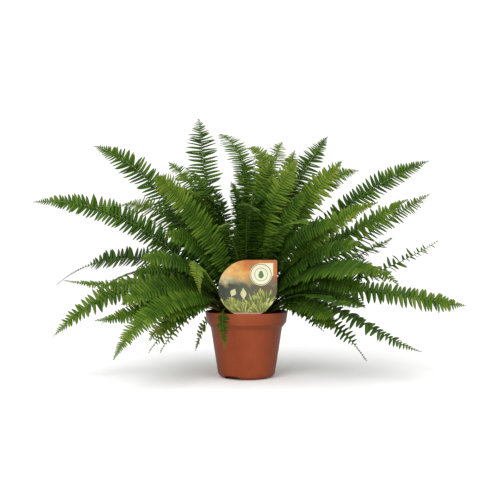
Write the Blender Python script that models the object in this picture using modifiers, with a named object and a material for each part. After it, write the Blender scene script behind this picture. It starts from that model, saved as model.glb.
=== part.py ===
"""A Boston fern growing in a round plastic nursery pot, with its plant label pushed into the soil.

Everything is in metres, +Z up. The origin is on the pot's axis at the height that it stands on, and
-Y is the front, where the label is. Each frond is an object of its own that starts on the crown.
"""

import math

import bmesh
import bpy
from mathutils import Matrix, Vector

# ---- Driving dimensions ----------------------------------------------------------------------
GAP = 0.0003  # air left between pieces that touch

POT_HEIGHT = 0.095
RIM_RADIUS = 0.060
RIM_BAND = 0.0160  # height of the collar below the pot's mouth
COLLAR_RADIUS = 0.0578  # bottom of the collar
SHOULDER_RADIUS = 0.052  # top of the tapering wall, under the collar
SHOULDER_DROP = 0.0046
BASE_RADIUS = 0.042
BASE_ROUNDING = 0.009
WALL = 0.0014
POT_STEPS = 40
SOIL_STEPS = 32

DRAIN_COUNT = 3
DRAIN_FIRST = math.radians(-122)  # the drain hole at the front left
DRAIN_WIDTH = 0.028
DRAIN_HEIGHT = 0.0052
DRAIN_INNER_END = 0.027

SOIL_TOP = 0.086
SOIL_EDGE_DROP = 0.002  # the soil lies lower along the wall
CROWN_RADIUS = 0.041
CROWN_MIDDLE = 0.0835
CROWN_RISE = 0.0085

LABEL_RADIUS = 0.0413
LABEL_CENTRE = Vector((0.0015, -0.0440, 0.1283))
LABEL_THICKNESS = 0.0008
LABEL_NECK = 0.035
LABEL_NECK_HEIGHT = 0.0925
LABEL_STAKE = 0.016
LABEL_END = 0.052

STALK_HALF_WIDTH = 0.0010
STALK_HALF_DEPTH = 0.0008
CROWN_CORE = 0.004  # upright stalks leave the crown this far from the pot's axis
CROWN_SPREAD = 0.034  # how much farther out the lowest ones leave it
STALK_START = 0.0016  # height of a stalk's lower end above the crown
START_PULL = 0.42  # how long a stalk keeps its first direction, as a share of its reach
END_PULL = 0.34
STATION_SPACING = 0.0175  # one pinna of the solid stands for the two living ones in this length
STIPE_LENGTH = 0.045  # the bare stalk below the first pinnae
TAPER_LENGTH = 0.30  # share of the leafy length over which each end of the blade narrows
BASE_SHARE = 0.40  # half-blade at the lowest pinnae, as a share of the widest
PINNA_LEAN = 0.30  # how far a pinna's tip lies ahead of its root, as a share of its length
PINNA_DROOP = 0.10  # how far it hangs below its root, in the same way
SHORTEST_PINNA = 0.0015
CURVE_STEPS = 160  # steps used to measure along a stalk

# ---- Fronds ----------------------------------------------------------------------------------
# Each row: the tip (x, y, z); the climb in degrees where the stalk leaves the crown, and where it
# ends; the widest half-blade; how far the upper side of the blade is turned to the front, in
# degrees; and how far the stalk starts off to one side of its tip, in degrees from above.
FRONDS = {
    "left_frond": [
        ((-0.226, 0.020, 0.338), 60, 22, 0.020, 52, 0),
        ((-0.299, -0.040, 0.251), 54, -4, 0.020, 50, 0),
        ((-0.202, 0.120, 0.256), 62, -6, 0.018, 30, 0),
        ((-0.127, 0.130, 0.327), 72, 30, 0.016, 20, 0),
        ((-0.119, -0.115, 0.281), 76, 34, 0.020, 15, 0),
        ((-0.291, 0.060, 0.130), 56, -38, 0.016, 40, 0),
        ((-0.242, -0.100, 0.143), 62, -14, 0.020, 35, 0),
        ((-0.269, -0.050, 0.063), 52, -44, 0.019, 40, 0),
        ((-0.195, -0.130, 0.093), 38, 2, 0.018, 25, 0),
        ((-0.163, -0.180, 0.049), 44, -60, 0.021, 20, -10),
        ((-0.216, 0.020, 0.072), 40, -42, 0.007, 20, 0),
        ((-0.146, 0.030, 0.031), 46, -54, 0.011, 20, 0),
        ((-0.121, -0.040, 0.040), 50, -62, 0.009, 20, 0),
        ((-0.079, 0.075, 0.028), 54, -80, 0.009, 0, 0),
        ((-0.056, -0.200, 0.132), 56, -66, 0.014, 0, -45),
        ((-0.152, 0.070, 0.043), 48, -52, 0.013, 10, 0),
    ],
    "top_frond": [
        ((-0.071, 0.030, 0.380), 70, 84, 0.022, -60, 0),
        ((-0.042, 0.100, 0.368), 85, 34, 0.016, 0, 8),
        ((0.001, 0.010, 0.333), 82, 0, 0.016, 0, -82),
        ((0.057, 0.095, 0.354), 86, 42, 0.015, 0, 2),
        ((0.074, 0.056, 0.336), 81, 52, 0.016, -40, 0),
        ((0.070, -0.055, 0.305), 82, 42, 0.020, 0, 0),
    ],
    "right_frond": [
        ((0.127, 0.080, 0.360), 76, 46, 0.019, 20, 0),
        ((0.133, -0.050, 0.306), 76, 44, 0.019, 40, 0),
        ((0.178, 0.100, 0.309), 72, 4, 0.016, 20, 0),
        ((0.270, 0.020, 0.315), 60, 18, 0.020, 52, 0),
        ((0.174, -0.100, 0.246), 58, 6, 0.017, 30, 0),
        ((0.277, 0.040, 0.268), 40, 30, 0.018, 52, 0),
        ((0.220, -0.070, 0.252), 52, 30, 0.017, 40, 0),
        ((0.234, 0.110, 0.203), 34, 24, 0.010, 30, 0),
        ((0.291, 0.050, 0.197), 22, 30, 0.009, 40, 0),
        ((0.196, -0.130, 0.137), 50, -54, 0.016, 20, 0),
        ((0.153, -0.180, 0.160), 58, -8, 0.023, 25, 16),
        ((0.311, -0.030, 0.104), 34, -8, 0.020, 50, 0),
        ((0.133, -0.200, 0.114), 42, -10, 0.009, 10, 20),
        ((0.229, -0.115, 0.050), 42, -22, 0.016, 35, 0),
        ((0.165, -0.060, 0.031), 46, -56, 0.010, 20, 0),
        ((0.111, -0.020, 0.066), 42, -46, 0.006, 20, 0),
        ((0.164, 0.100, 0.046), 44, -42, 0.014, 20, 0),
        ((0.189, 0.060, 0.132), 34, -4, 0.012, 30, 0),
    ],
    "front_frond": [
        ((-0.029, -0.104, 0.054), 46, -78, 0.007, 0, -29),
        ((-0.032, -0.150, 0.212), 86, -18, 0.015, 0, -8),
        ((0.010, -0.170, 0.232), 89, -26, 0.017, 0, -8),
        ((0.078, -0.140, 0.216), 86, -20, 0.016, 0, 8),
    ],
    "back_frond": [
        ((0.225, 0.175, 0.130), 50, -34, 0.020, 10, 0),
        ((0.160, 0.230, 0.180), 56, -10, 0.020, 0, 0),
        ((0.090, 0.270, 0.120), 52, -36, 0.021, 0, 0),
        ((0.010, 0.270, 0.230), 64, 0, 0.021, 0, 0),
        ((-0.080, 0.265, 0.130), 52, -34, 0.021, 0, 0),
        ((-0.160, 0.225, 0.190), 58, -10, 0.020, 0, 0),
        ((-0.235, 0.150, 0.120), 50, -34, 0.020, 10, 0),
        ((0.060, 0.180, 0.310), 76, 20, 0.019, 0, 0),
        ((-0.090, 0.170, 0.070), 54, -50, 0.015, 0, 0),
        ((0.132, 0.142, 0.060), 54, -50, 0.015, 0, 0),
    ],
}


# ---- Scene and materials ---------------------------------------------------------------------
def clear_scene():
    for obj in list(bpy.data.objects):
        bpy.data.objects.remove(obj)


def collection(name, helper=False):
    made = bpy.data.collections.new(name)
    bpy.context.scene.collection.children.link(made)
    made.hide_render = helper
    return made


def material(name, colour, roughness):
    made = bpy.data.materials.new(name)
    made.use_nodes = True
    shader = made.node_tree.nodes["Principled BSDF"]
    shader.inputs["Base Color"].default_value = (*colour, 1.0)
    shader.inputs["Roughness"].default_value = roughness
    shader.inputs["Metallic"].default_value = 0.0
    return made


def add_object(name, mesh, into, finish=None):
    made = bpy.data.objects.new(name, mesh)
    into.objects.link(made)
    if finish:
        mesh.materials.append(finish)
    return made


def helper_only(obj):
    obj.hide_render = True
    obj.display_type = "WIRE"


def cut(obj, cutter):
    boolean = obj.modifiers.new("cut by " + cutter.name, "BOOLEAN")
    boolean.operation = "DIFFERENCE"
    boolean.object = cutter


def turned(name, profile, into, finish=None, steps=POT_STEPS):
    """A solid turned about Z. The profile runs up inside and down outside, ending on the axis."""
    mesh = bpy.data.meshes.new(name)
    points = [(radius, 0.0, height) for radius, height in profile]
    mesh.from_pydata(points, [(i, i + 1) for i in range(len(points) - 1)], [])
    made = add_object(name, mesh, into, finish)
    screw = made.modifiers.new("turn", "SCREW")
    screw.steps = screw.render_steps = steps
    screw.use_merge_vertices = True
    screw.merge_threshold = 0.00005
    screw.use_smooth_shade = True
    return made


# ---- Pot -------------------------------------------------------------------------------------
def quarter(centre_radius, centre_height, rounding, start, end, count=4):
    """Points on an arc in the profile's plane. Angles are in degrees, 0 pointing outwards."""
    made = []
    for i in range(count + 1):
        angle = math.radians(start + (end - start) * i / count)
        made.append((
            centre_radius + rounding * math.cos(angle),
            centre_height + rounding * math.sin(angle),
        ))
    return made


def inner_radius(height):
    """The pot's inner wall between its floor and its shoulder."""
    shoulder = POT_HEIGHT - RIM_BAND - SHOULDER_DROP
    share = (height - BASE_ROUNDING) / (shoulder - BASE_ROUNDING)
    return BASE_RADIUS + (SHOULDER_RADIUS - BASE_RADIUS) * share - WALL


def pot_profile():
    collar_bottom = POT_HEIGHT - RIM_BAND
    shoulder = collar_bottom - SHOULDER_DROP
    corner = BASE_RADIUS - BASE_ROUNDING
    lip = 0.4 * WALL
    profile = [(0.0, WALL)]
    profile += quarter(corner, BASE_ROUNDING, BASE_ROUNDING - WALL, -90, 0)
    profile += [
        (SHOULDER_RADIUS - WALL, shoulder),
        (COLLAR_RADIUS - WALL, collar_bottom + lip),
        (RIM_RADIUS - WALL - lip, POT_HEIGHT - lip),
        (RIM_RADIUS - WALL, POT_HEIGHT),
        (RIM_RADIUS - lip, POT_HEIGHT),
        (RIM_RADIUS, POT_HEIGHT - lip),
        (COLLAR_RADIUS, collar_bottom),
        (SHOULDER_RADIUS, shoulder),
    ]
    profile += quarter(corner, BASE_ROUNDING, BASE_ROUNDING, 0, -90)
    profile.append((0.0, 0.0))
    return profile


def drain_cutter(index, into):
    """A low arch that runs outwards through the floor and the rounded corner of the pot."""
    outer_end = BASE_RADIUS + BASE_ROUNDING
    mesh = bpy.data.meshes.new("drain_cutter")
    shape = bmesh.new()
    bmesh.ops.create_cone(
        shape,
        cap_ends=True,
        segments=16,
        radius1=1.0,
        radius2=1.0,
        depth=outer_end - DRAIN_INNER_END,
    )
    bmesh.ops.scale(shape, verts=shape.verts, vec=(DRAIN_HEIGHT, DRAIN_WIDTH / 2, 1.0))
    bmesh.ops.rotate(shape, verts=shape.verts, matrix=Matrix.Rotation(math.pi / 2, 3, "Y"))
    shape.to_mesh(mesh)
    shape.free()
    made = add_object(f"drain_cutter_{index + 1}", mesh, into)
    angle = DRAIN_FIRST + index * math.tau / DRAIN_COUNT
    middle = (outer_end + DRAIN_INNER_END) / 2
    made.location = (middle * math.cos(angle), middle * math.sin(angle), 0.0)
    made.rotation_euler = (0.0, 0.0, angle)
    helper_only(made)
    return made


def make_pot(into, cutters, finish):
    pot = turned("pot", pot_profile(), into, finish)
    for index in range(DRAIN_COUNT):
        cut(pot, drain_cutter(index, cutters))
    return pot


# ---- Soil and crown --------------------------------------------------------------------------
def crown_mesh(grow=0.0):
    """The low clump of short stems that all the fronds grow from."""
    mesh = bpy.data.meshes.new("rhizome_crown")
    shape = bmesh.new()
    bmesh.ops.create_uvsphere(shape, u_segments=24, v_segments=10, radius=1.0)
    wide = CROWN_RADIUS + grow
    bmesh.ops.scale(shape, verts=shape.verts, vec=(wide, wide, CROWN_RISE + grow))
    bmesh.ops.translate(shape, verts=shape.verts, vec=(0.0, 0.0, CROWN_MIDDLE))
    shape.to_mesh(mesh)
    shape.free()
    mesh.shade_smooth()
    return mesh


def crown_height(radius):
    """Height of the crown's surface at this distance from the pot's axis."""
    share = radius / CROWN_RADIUS
    return CROWN_MIDDLE + CROWN_RISE * math.sqrt(1.0 - share * share)


def soil_profile():
    """The soil takes the shape of the inside of the pot, a gap away from its wall."""
    collar_bottom = POT_HEIGHT - RIM_BAND
    shoulder = collar_bottom - SHOULDER_DROP
    edge_top = SOIL_TOP - SOIL_EDGE_DROP
    slope = (RIM_RADIUS - COLLAR_RADIUS) / RIM_BAND
    low = 2 * BASE_ROUNDING
    return [
        (0.0, SOIL_TOP),
        (CROWN_RADIUS + 2 * WALL, SOIL_TOP),
        (COLLAR_RADIUS - 2 * WALL + slope * (edge_top - collar_bottom), edge_top),
        (COLLAR_RADIUS - WALL - 4 * GAP, collar_bottom + WALL),
        (SHOULDER_RADIUS - WALL - 2 * GAP, shoulder + GAP),
        (inner_radius(low) - 2 * GAP, low),
        (BASE_RADIUS - BASE_ROUNDING, WALL + GAP),
        (0.0, WALL + GAP),
    ]


def label_slot_cutter(into):
    low = LABEL_END - 2 * GAP
    high = POT_HEIGHT
    mesh = bpy.data.meshes.new("label_slot_cutter")
    shape = bmesh.new()
    bmesh.ops.create_cube(shape, size=1.0)
    size = (LABEL_NECK + 4 * GAP, LABEL_THICKNESS + 4 * GAP, high - low)
    bmesh.ops.scale(shape, verts=shape.verts, vec=size)
    shape.to_mesh(mesh)
    shape.free()
    made = add_object("label_slot_cutter", mesh, into)
    made.location = (LABEL_CENTRE.x, LABEL_CENTRE.y, (high + low) / 2)
    helper_only(made)
    return made


def make_soil(into, cutters, finish):
    soil = turned("potting_soil", soil_profile(), into, finish, steps=SOIL_STEPS)
    pocket = add_object("crown_pocket_cutter", crown_mesh(GAP), cutters)
    helper_only(pocket)
    cut(soil, pocket)
    cut(soil, label_slot_cutter(cutters))
    return soil


# ---- Plant label -----------------------------------------------------------------------------
def label_arc(start, end, count):
    """Points on the label's round edge, between two angles in degrees."""
    centre_x, _, centre_z = LABEL_CENTRE
    made = []
    for i in range(count + 1):
        angle = math.radians(start + (end - start) * i / count)
        made.append((
            centre_x + LABEL_RADIUS * math.cos(angle),
            centre_z + LABEL_RADIUS * math.sin(angle),
        ))
    return made


def label_outline():
    """The label seen from the front: a disc with one square corner, a neck, and a pointed stake."""
    centre_x, _, centre_z = LABEL_CENTRE
    half_neck, half_stake = LABEL_NECK / 2, LABEL_STAKE / 2
    shoulder, point = SOIL_TOP - 0.004, LABEL_END + 0.008
    return [
        (centre_x + LABEL_RADIUS, centre_z + LABEL_RADIUS),
        *label_arc(90, 228, 18),
        (centre_x - half_neck, LABEL_NECK_HEIGHT),
        (centre_x - half_stake, shoulder),
        (centre_x - half_stake, point),
        (centre_x, LABEL_END),
        (centre_x + half_stake, point),
        (centre_x + half_stake, shoulder),
        (centre_x + half_neck, LABEL_NECK_HEIGHT),
        *label_arc(-48, 0, 7),
    ]


def make_label(into, finish):
    outline = label_outline()
    curve = bpy.data.curves.new("plant_label", "CURVE")
    curve.dimensions = "2D"
    curve.fill_mode = "BOTH"
    curve.extrude = LABEL_THICKNESS / 2
    spline = curve.splines.new("POLY")
    spline.points.add(len(outline) - 1)
    for point, (x, z) in zip(spline.points, outline):
        point.co = (x, z, 0.0, 1.0)
    spline.use_cyclic_u = True
    label = bpy.data.objects.new("plant_label", curve)
    label.rotation_euler = (math.pi / 2, 0.0, 0.0)
    label.location = (0.0, LABEL_CENTRE.y, 0.0)
    curve.materials.append(finish)
    into.objects.link(label)
    return label


# ---- Fronds ----------------------------------------------------------------------------------
def frond_curve(tip, climb, arrive, bow):
    """The four control points of the curve that a stalk follows."""
    tip = Vector(tip)
    heading = math.atan2(tip.y, tip.x)
    first, last = heading + math.radians(bow), heading - math.radians(bow)
    base_radius = CROWN_CORE + CROWN_SPREAD * math.cos(math.radians(climb)) ** 0.75
    start = Vector((base_radius * math.cos(first), base_radius * math.sin(first), 0.0))
    start.z = crown_height(base_radius) + STALK_START
    reach = (tip - start).length
    leave = start + direction(first, climb) * reach * START_PULL
    return start, leave, tip - direction(last, arrive) * reach * END_PULL, tip


def direction(heading, climb):
    level = math.cos(math.radians(climb))
    return Vector((
        level * math.cos(heading), level * math.sin(heading), math.sin(math.radians(climb))
    ))


def blade_share(along):
    """Half-blade at this share of the leafy length, against the widest."""
    tip = min(1.0, (1.0 - along) / TAPER_LENGTH)
    base = min(1.0, along / TAPER_LENGTH)
    narrowing = BASE_SHARE + (1.0 - BASE_SHARE) * (1.0 - (1.0 - base) ** 2)
    return (1.0 - (1.0 - tip) ** 2) * narrowing


def stations(tip, climb, arrive, turn, bow):
    """Evenly spaced points along a stalk, each with its forward, left and up directions."""
    a, b, c, d = frond_curve(tip, climb, arrive, bow)
    points, ways = [], []
    for i in range(CURVE_STEPS + 1):
        t = i / CURVE_STEPS
        s = 1.0 - t
        points.append(a * s ** 3 + b * 3 * s * s * t + c * 3 * s * t * t + d * t ** 3)
        ways.append(((b - a) * s * s + (c - b) * 2 * s * t + (d - c) * t * t).normalized())
    lengths = [0.0]
    for before, after in zip(points, points[1:]):
        lengths.append(lengths[-1] + (after - before).length)
    count = max(5, round(lengths[-1] / STATION_SPACING))
    roll = math.radians(turn if tip[0] > 0 else -turn)
    heading = math.atan2(tip[1], tip[0])
    side = Vector((-math.sin(heading), math.cos(heading), 0.0))
    made = []
    step = 0
    for i in range(CURVE_STEPS + 1):
        side = (side - ways[i] * side.dot(ways[i])).normalized()
        if lengths[i] < lengths[-1] * step / count - 1e-9:
            continue
        left = Matrix.Rotation(roll, 3, ways[i]) @ side
        made.append((points[i], ways[i], left, ways[i].cross(left)))
        step += 1
    return made, lengths[-1]


def stalk_ring(shape, station):
    """Four corners of the stalk's diamond section."""
    centre, _, left, up = station
    return {
        "top": shape.verts.new(centre + up * STALK_HALF_DEPTH),
        "left": shape.verts.new(centre + left * STALK_HALF_WIDTH),
        "under": shape.verts.new(centre - up * STALK_HALF_DEPTH),
        "right": shape.verts.new(centre - left * STALK_HALF_WIDTH),
    }


def span_side(shape, near, far, side, point):
    """The faces on one side of the stalk between two rings, drawn out to a pinna's point if it has one."""
    if point is None:
        loops = [
            (near["top"], near[side], far[side], far["top"]),
            (far["under"], far[side], near[side], near["under"]),
        ]
    else:
        tip = shape.verts.new(point)
        loops = [
            (near["top"], near[side], tip),
            (near["top"], tip, far["top"]),
            (far["top"], tip, far[side]),
            (near["under"], tip, near[side]),
            (near["under"], far["under"], tip),
            (far["under"], far[side], tip),
        ]
    for loop in loops:
        shape.faces.new(loop)


def make_frond(name, row, into, finish):
    """One frond as one closed solid: a thin stalk with a pointed pinna on each side of each span."""
    tip, climb, arrive, half_width, turn, bow = row
    along, length = stations(tip, climb, arrive, turn, bow)
    shape = bmesh.new()
    rings = [stalk_ring(shape, station) for station in along]
    for ring in (rings[0], rings[-1]):
        shape.faces.new([ring[side] for side in ("top", "left", "under", "right")])
    spans = len(rings) - 1
    for i in range(spans):
        middle = length * (i + 0.5) / spans
        leafy = max(0.0, (middle - STIPE_LENGTH) / (length - STIPE_LENGTH))
        reach = half_width * blade_share(leafy) if leafy else 0.0
        centre = (along[i][0] + along[i + 1][0]) / 2
        forward, left, up = along[i][1:]
        for side, outwards in (("left", left), ("right", -left)):
            point = centre + (outwards + forward * PINNA_LEAN - up * PINNA_DROOP) * reach
            span_side(shape, rings[i], rings[i + 1], side, point if reach > SHORTEST_PINNA else None)
    bmesh.ops.recalc_face_normals(shape, faces=shape.faces)
    mesh = bpy.data.meshes.new(name)
    shape.to_mesh(mesh)
    shape.free()
    return add_object(name, mesh, into, finish)


def main():
    clear_scene()
    parts = collection("potted fern")
    cutters = collection("cutters", helper=True)
    plastic = material("pot plastic", (0.33, 0.085, 0.043), 0.45)
    peat = material("peat", (0.018, 0.012, 0.008), 0.95)
    scales = material("crown scales", (0.09, 0.045, 0.018), 0.85)
    print_face = material("label print", (0.75, 0.50, 0.25), 0.35)
    leaf = material("frond green", (0.055, 0.155, 0.018), 0.50)
    make_pot(parts, cutters, plastic)
    make_soil(parts, cutters, peat)
    add_object("rhizome_crown", crown_mesh(), parts, scales)
    make_label(parts, print_face)
    for group, rows in FRONDS.items():
        for index, row in enumerate(rows):
            make_frond(f"{group}_{index + 1:02d}", row, parts, leaf)


main()
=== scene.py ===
# Potted fern: the finished looks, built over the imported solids.
import math

import bmesh
import bpy
import numpy as np
from mathutils import Matrix, Vector, noise


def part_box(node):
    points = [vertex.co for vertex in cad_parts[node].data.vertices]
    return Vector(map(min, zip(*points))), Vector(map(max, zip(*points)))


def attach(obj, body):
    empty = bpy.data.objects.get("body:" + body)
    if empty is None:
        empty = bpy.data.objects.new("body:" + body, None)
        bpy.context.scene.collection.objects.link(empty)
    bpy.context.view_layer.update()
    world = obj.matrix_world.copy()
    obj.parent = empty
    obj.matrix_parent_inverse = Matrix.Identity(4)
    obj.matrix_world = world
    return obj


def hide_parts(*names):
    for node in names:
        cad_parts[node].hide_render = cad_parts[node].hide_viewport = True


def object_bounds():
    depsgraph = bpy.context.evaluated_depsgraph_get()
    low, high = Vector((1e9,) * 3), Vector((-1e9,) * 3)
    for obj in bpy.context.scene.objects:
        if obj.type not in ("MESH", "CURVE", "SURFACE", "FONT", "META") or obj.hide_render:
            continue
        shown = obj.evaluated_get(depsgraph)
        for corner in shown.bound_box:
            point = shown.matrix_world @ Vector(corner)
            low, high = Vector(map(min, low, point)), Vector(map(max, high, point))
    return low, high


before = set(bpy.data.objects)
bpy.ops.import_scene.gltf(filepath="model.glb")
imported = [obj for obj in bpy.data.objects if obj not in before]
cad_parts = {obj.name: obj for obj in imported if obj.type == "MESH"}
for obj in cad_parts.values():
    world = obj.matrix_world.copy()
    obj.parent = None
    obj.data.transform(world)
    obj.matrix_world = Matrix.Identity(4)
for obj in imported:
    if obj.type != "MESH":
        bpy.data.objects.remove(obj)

cadLow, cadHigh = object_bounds()
print("frame loaded:", len(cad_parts), "nodes")


current = {}      # the finish that the helpers below add nodes to: its tree and shader


def newFinish(name, roughness=0.5, specular=0.5):
    finish = bpy.data.materials.new(name)
    finish.use_nodes = True
    shader = finish.node_tree.nodes["Principled BSDF"]
    shader.inputs["Roughness"].default_value = roughness
    shader.inputs["Specular IOR Level"].default_value = specular
    current.update(tree=finish.node_tree, shader=shader)
    return finish


def setSocket(socket, value):
    if isinstance(value, bpy.types.NodeSocket):
        current["tree"].links.new(value, socket)
    elif socket.type == "RGBA" and len(value) == 3:
        socket.default_value = (*value, 1.0)
    else:
        socket.default_value = value


def put(kind, inputs=None, **settings):
    # adds a node, sets its fields, and links or fills its sockets
    made = current["tree"].nodes.new("ShaderNode" + kind)
    for field, value in settings.items():
        setattr(made, field, value)
    for socket, value in (inputs or {}).items():
        setSocket(made.inputs[socket], value)
    return made


def calc(operation, a, b=0.0):
    return put("Math", {0: a, 1: b}, operation=operation).outputs[0]


def between(value, low, high, toLow=0.0, toHigh=1.0):
    return put("MapRange", {"Value": value, "From Min": low, "From Max": high,
                            "To Min": toLow, "To Max": toHigh}).outputs[0]


def blend(share, a, b):
    # colour a with a share of colour b over it
    return put("Mix", {0: share, 6: a, 7: b}, data_type="RGBA", clamp_factor=True).outputs[2]


def ramp(share, stops):
    made = put("ValToRGB", {"Fac": share})
    band = made.color_ramp
    while len(band.elements) < len(stops):
        band.elements.new(0.5)
    for element, (place, colour) in zip(band.elements, stops):
        element.position = place
        element.color = (*colour, 1.0)
    return made.outputs["Color"]


def wireUp(colour, roughness, height=None, distance=0.0, strength=1.0):
    # wires the colour, the roughness and, where it's given, the height of a bump
    inputs = current["shader"].inputs
    setSocket(inputs["Base Color"], colour)
    setSocket(inputs["Roughness"], roughness)
    if height is not None:
        bump = put("Bump", {"Height": height, "Distance": distance, "Strength": strength})
        setSocket(inputs["Normal"], bump.outputs["Normal"])


def grain(where, scale, detail=3.0, rough=0.55):
    return put("TexNoise", {"Vector": where, "Scale": scale, "Detail": detail,
                            "Roughness": rough}).outputs["Fac"]


def placeOf():
    return put("TexCoord").outputs["Object"]


def addObject(name, data):
    obj = bpy.data.objects.new(name, data)
    bpy.context.scene.collection.objects.link(obj)
    return obj


def makeObject(name, points, polygons, finish, smooth=None, loopMaps=None, pointFields=None):
    # polygons is a list of index arrays, one array for each number of corners
    mesh = bpy.data.meshes.new(name)
    mesh.vertices.add(len(points))
    mesh.vertices.foreach_set("co", np.asarray(points, np.float32).ravel())
    loops = np.concatenate([p.ravel() for p in polygons]).astype(np.int32)
    totals = np.concatenate([np.full(len(p), p.shape[1]) for p in polygons])
    mesh.loops.add(len(loops))
    mesh.loops.foreach_set("vertex_index", loops)
    mesh.polygons.add(len(totals))
    starts = np.concatenate([[0], np.cumsum(totals)[:-1]]).astype(np.int32)
    mesh.polygons.foreach_set("loop_start", starts)
    mesh.update(calc_edges=True)
    for field, (kind, values) in (pointFields or {}).items():
        made = mesh.attributes.new(field, kind, "POINT")
        slot = "vector" if kind == "FLOAT_VECTOR" else "value"
        made.data.foreach_set(slot, np.asarray(values, np.float32).ravel())
    if loopMaps is not None:
        layer = mesh.uv_layers.new(name="OFBake")
        layer.uv.foreach_set("vector", np.asarray(loopMaps, np.float32).ravel())
    mesh.validate()
    mesh.shade_smooth()
    if smooth is not None:
        mesh.set_sharp_from_angle(angle=math.radians(smooth))
    mesh.materials.append(finish)
    return addObject(name, mesh)


def fullTurn(steps):
    return np.linspace(0.0, 2 * math.pi, steps, endpoint=False)


def lathe(profile, steps):
    # points and quads of a profile of (radius, height) turned about the upright axis
    profile = np.asarray(profile, float)
    turn = fullTurn(steps)
    rings = np.stack([np.outer(profile[:, 0], np.cos(turn)), np.outer(profile[:, 0], np.sin(turn)),
                      np.repeat(profile[:, 1:2], steps, 1)], -1)
    at = np.arange(len(profile) * steps).reshape(-1, steps)
    quads = np.stack([at[:-1], np.roll(at[:-1], -1, 1), np.roll(at[1:], -1, 1), at[1:]], -1)
    return rings.reshape(-1, 3), quads.reshape(-1, 4)


def rideRoot(obj, slotName, *nodes):
    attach(obj, "root")
    if nodes:
        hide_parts(*nodes)
    return obj


frondBuild = {
    "seed": 7,
    "bareStalk": 0.045,       # stalk without leaflets above the crown
    "leafletGap": 0.0063,     # between leaflets of one side
    "tipGapShare": 0.34,      # how much closer they stand at the tip
    "stations": 14,           # along a leaflet
    "leafletWidth": 0.16,     # half width against length
    "widthOfGap": 0.72,       # most of a gap that half a leaflet may fill
    "earSize": 0.34,          # lobe at the leaflet's foot, towards the frond's tip
    "earAt": 0.085,
    "earSpread": 0.075,
    "lowerSide": 0.92,        # width of the side towards the crown
    "edgeDip": 0.10,          # how far the edges hang below the midrib
    "fold": 0.07,             # rise halfway from midrib to edge
    "keel": 0.20,             # how far the underside's middle hangs
    "toothDepth": 0.12,
    "sickle": 0.07,           # bend of a leaflet towards the frond's tip
    "lean": 4.0,              # degrees forward of square
    "leanTip": 22.0,
    "rise": 0.10,
    "droop": 0.17,
    "twist": 12.0,            # degrees over the length, at random
    "ragged": 0.07,           # unevenness of the leaflets
    "shingle": 0.24,          # how far each leaflet tips over the next
    "widest": 0.0038,
    "skyward": 0.42,          # share of the climb that leaflets turn back to face the sky
    "stalkRadius": 0.00105,
    "stalkTipRadius": 0.00028,
    "stalkSides": 6,
    "shortest": 0.0016,       # leaflet
}

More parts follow.
